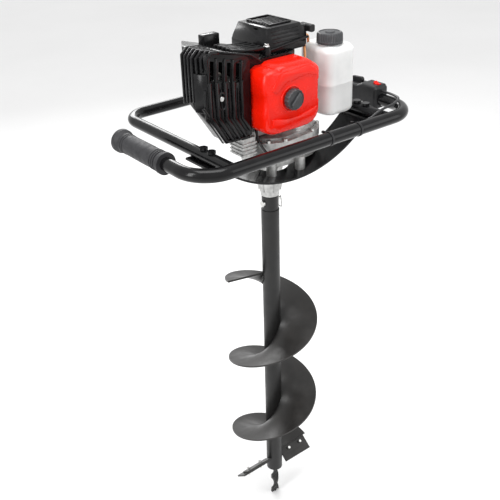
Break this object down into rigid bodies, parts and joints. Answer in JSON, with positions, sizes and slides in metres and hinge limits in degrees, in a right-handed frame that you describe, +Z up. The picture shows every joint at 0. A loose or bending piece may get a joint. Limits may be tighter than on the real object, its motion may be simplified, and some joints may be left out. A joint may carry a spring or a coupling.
{
  "type": "ice fishing auger",
  "caption": "One-man petrol ice and earth auger: two-stroke power head on a tube handlebar frame, driving a flighted drill with a twisted pilot bit.",
  "frame": {"origin": "tip of the pilot bit, on the drill's axis, with the auger standing upright in use", "axes": "+Z up along the drill's axis, +X to the operator's right along the front handlebar, +Y from the front handlebar towards the rear loop"},
  "size_m": [0.5675, 0.3889, 1.168],
  "materials": {
    "black_tube_paint": "gloss black powder coat",
    "drill_paint": "satin charcoal paint, lightly worn",
    "grip_rubber": "soft matt rubber",
    "cowl_plastic": "gloss black moulded plastic",
    "handle_plastic": "fine grained black plastic",
    "cast_aluminium": "bare shot-blasted die casting",
    "zinc_steel": "bright zinc plate",
    "gear_steel": "ground and oiled steel",
    "seal_rubber": "nitrile rubber",
    "red_plastic": "gloss orange-red moulded plastic",
    "tank_plastic": "translucent white blow-moulded plastic",
    "cap_plastic": "dark grey moulded plastic",
    "foam": "open-cell filter foam",
    "hose_vinyl": "translucent amber fuel hose",
    "cable_sheath": "smooth black cable sheath",
    "muffler_steel": "heat-proof black paint",
    "porcelain": "glazed insulator and plated shell"
  },
  "bodies": {
    "power_head": {"front_handlebar": "black_tube_paint", "rear_loop": "black_tube_paint", "cradle_strap": "black_tube_paint", "strap_bolts": "black_tube_paint", "left_grip": "grip_rubber", "handle_inner": "handle_plastic", "handle_outer": "handle_plastic", "handle_screws": "zinc_steel", "throttle_cable": "cable_sheath", "cable_ties": "handle_plastic", "gear_case": "cast_aluminium", "gear_cover": "cast_aluminium", "case_bolts": "zinc_steel", "bearings": "gear_steel", "output_seal": "seal_rubber", "clutch_housing": "cast_aluminium", "crankcase": "cast_aluminium", "cylinder": "cast_aluminium", "spark_plug": "porcelain", "plug_boot": "seal_rubber", "engine_shroud": "cowl_plastic", "fan_cowl": "cowl_plastic", "recoil_housing": "cowl_plastic", "filter_cover": "red_plastic", "filter_base": "cowl_plastic", "filter_element": "foam", "carburettor": "cast_aluminium", "muffler": "muffler_steel", "fuel_tank": "tank_plastic", "tank_bracket": "zinc_steel", "fuel_hose": "hose_vinyl"},
    "drill": {"output_shaft": "gear_steel", "output_gear": "gear_steel", "coupling_sleeve": "drill_paint", "drive_pin": "zinc_steel", "r_clip": "zinc_steel", "drill_tube": "drill_paint", "flighting": "drill_paint", "cutter_blades": "drill_paint", "blade_holders": "drill_paint", "blade_bolts": "zinc_steel", "pilot_bit": "drill_paint"},
    "lay_gears": {"lay_shaft": "gear_steel", "lay_gear": "gear_steel"},
    "clutch_drum": {"clutch_drum": "gear_steel"},
    "crank": {"crankshaft": "gear_steel", "clutch_shoes": "gear_steel", "flywheel": "cast_aluminium"},
    "piston": {"piston": "cast_aluminium", "wrist_pin": "gear_steel"},
    "throttle_trigger": {"throttle_trigger": "handle_plastic"},
    "lockout_lever": {"lockout_lever": "handle_plastic"},
    "stop_switch": {"stop_switch": "red_plastic"},
    "throttle_plate": {"throttle_plate": "gear_steel"},
    "choke": {"choke_lever": "gear_steel"},
    "primer_bulb": {"primer_bulb": "seal_rubber"},
    "filter_knob": {"filter_knob": "handle_plastic"},
    "tank_cap": {"tank_cap": "cap_plastic"},
    "starter_pulley": {"starter_pulley": "handle_plastic"},
    "starter_handle": {"starter_handle": "handle_plastic"}
  },
  "joints": [
    {"name": "drill_spin", "type": "hinge", "parent": "power_head", "child": "drill", "pos_m": [0, 0, 0.9], "axis": [0, 0, -1], "continuous": true},
    {"name": "lay_spin", "type": "hinge", "parent": "power_head", "child": "lay_gears", "pos_m": [0.05593, -0.00275, 0.94], "axis": [0, 0, -1], "continuous": true},
    {"name": "drum_spin", "type": "hinge", "parent": "power_head", "child": "clutch_drum", "pos_m": [0.016, 0.018, 0.98], "axis": [0, 0, -1], "continuous": true},
    {"name": "crank_spin", "type": "hinge", "parent": "power_head", "child": "crank", "pos_m": [0.016, 0.018, 1.044], "axis": [0, 0, -1], "continuous": true},
    {"name": "piston_stroke", "type": "slide", "parent": "power_head", "child": "piston", "axis": [1, 0, 0], "range_m": [-0.017, 0.017]},
    {"name": "trigger_pull", "type": "hinge", "parent": "power_head", "child": "throttle_trigger", "pos_m": [0.262, -0.012, 0.973], "axis": [1, 0, 0], "range_deg": [0, 14], "stiffness_Nm_per_rad": 0.25, "springref_deg": -17.19},
    {"name": "lockout_press", "type": "hinge", "parent": "power_head", "child": "lockout_lever", "pos_m": [0.262, 0.062, 0.994], "axis": [1, 0, 0], "range_deg": [0, 7], "stiffness_Nm_per_rad": 0.2, "springref_deg": -17.19},
    {"name": "switch_rock", "type": "hinge", "parent": "power_head", "child": "stop_switch", "pos_m": [0.262, -0.036, 1.007], "axis": [1, 0, 0], "range_deg": [0, 14]},
    {"name": "throttle_plate_turn", "type": "hinge", "parent": "power_head", "child": "throttle_plate", "pos_m": [-0.044, -0.03, 1.044], "axis": [0, 0, 1], "range_deg": [0, 75]},
    {"name": "choke_turn", "type": "hinge", "parent": "power_head", "child": "choke", "pos_m": [-0.044, -0.048, 1.044], "axis": [0, 0, 1], "range_deg": [0, 80]},
    {"name": "primer_press", "type": "slide", "parent": "power_head", "child": "primer_bulb", "axis": [0, 0, 1], "range_m": [0, 0.003], "stiffness_N_per_m": 400, "springref_m": -0.002},
    {"name": "knob_turn", "type": "hinge", "parent": "power_head", "child": "filter_knob", "pos_m": [-0.013, -0.09, 1.0545], "axis": [0, -1, 0], "range_deg": [-720, 0]},
    {"name": "cap_turn", "type": "hinge", "parent": "power_head", "child": "tank_cap", "pos_m": [0.1315, -0.028, 1.125], "axis": [0, 0, 1], "range_deg": [0, 540]},
    {"name": "starter_pull", "type": "slide", "parent": "power_head", "child": "starter_handle", "axis": [1, 0, 0], "range_m": [0, 0.7], "stiffness_N_per_m": 8, "springref_m": -0.4},
    {"name": "pulley_turn", "type": "hinge", "parent": "power_head", "child": "starter_pulley", "pos_m": [0.016, 0.018, 1.15], "axis": [0, 0, 1], "range_deg": [0, 1824]}
  ],
  "couplings": [
    {"joint": "lay_spin", "follows": "drill_spin", "ratio": -4.3333},
    {"joint": "drum_spin", "follows": "drill_spin", "ratio": 21.667},
    {"joint": "throttle_plate_turn", "follows": "trigger_pull", "ratio": 5.3571},
    {"joint": "pulley_turn", "follows": "starter_pull", "rad_per_m": 45.455}
  ]
}
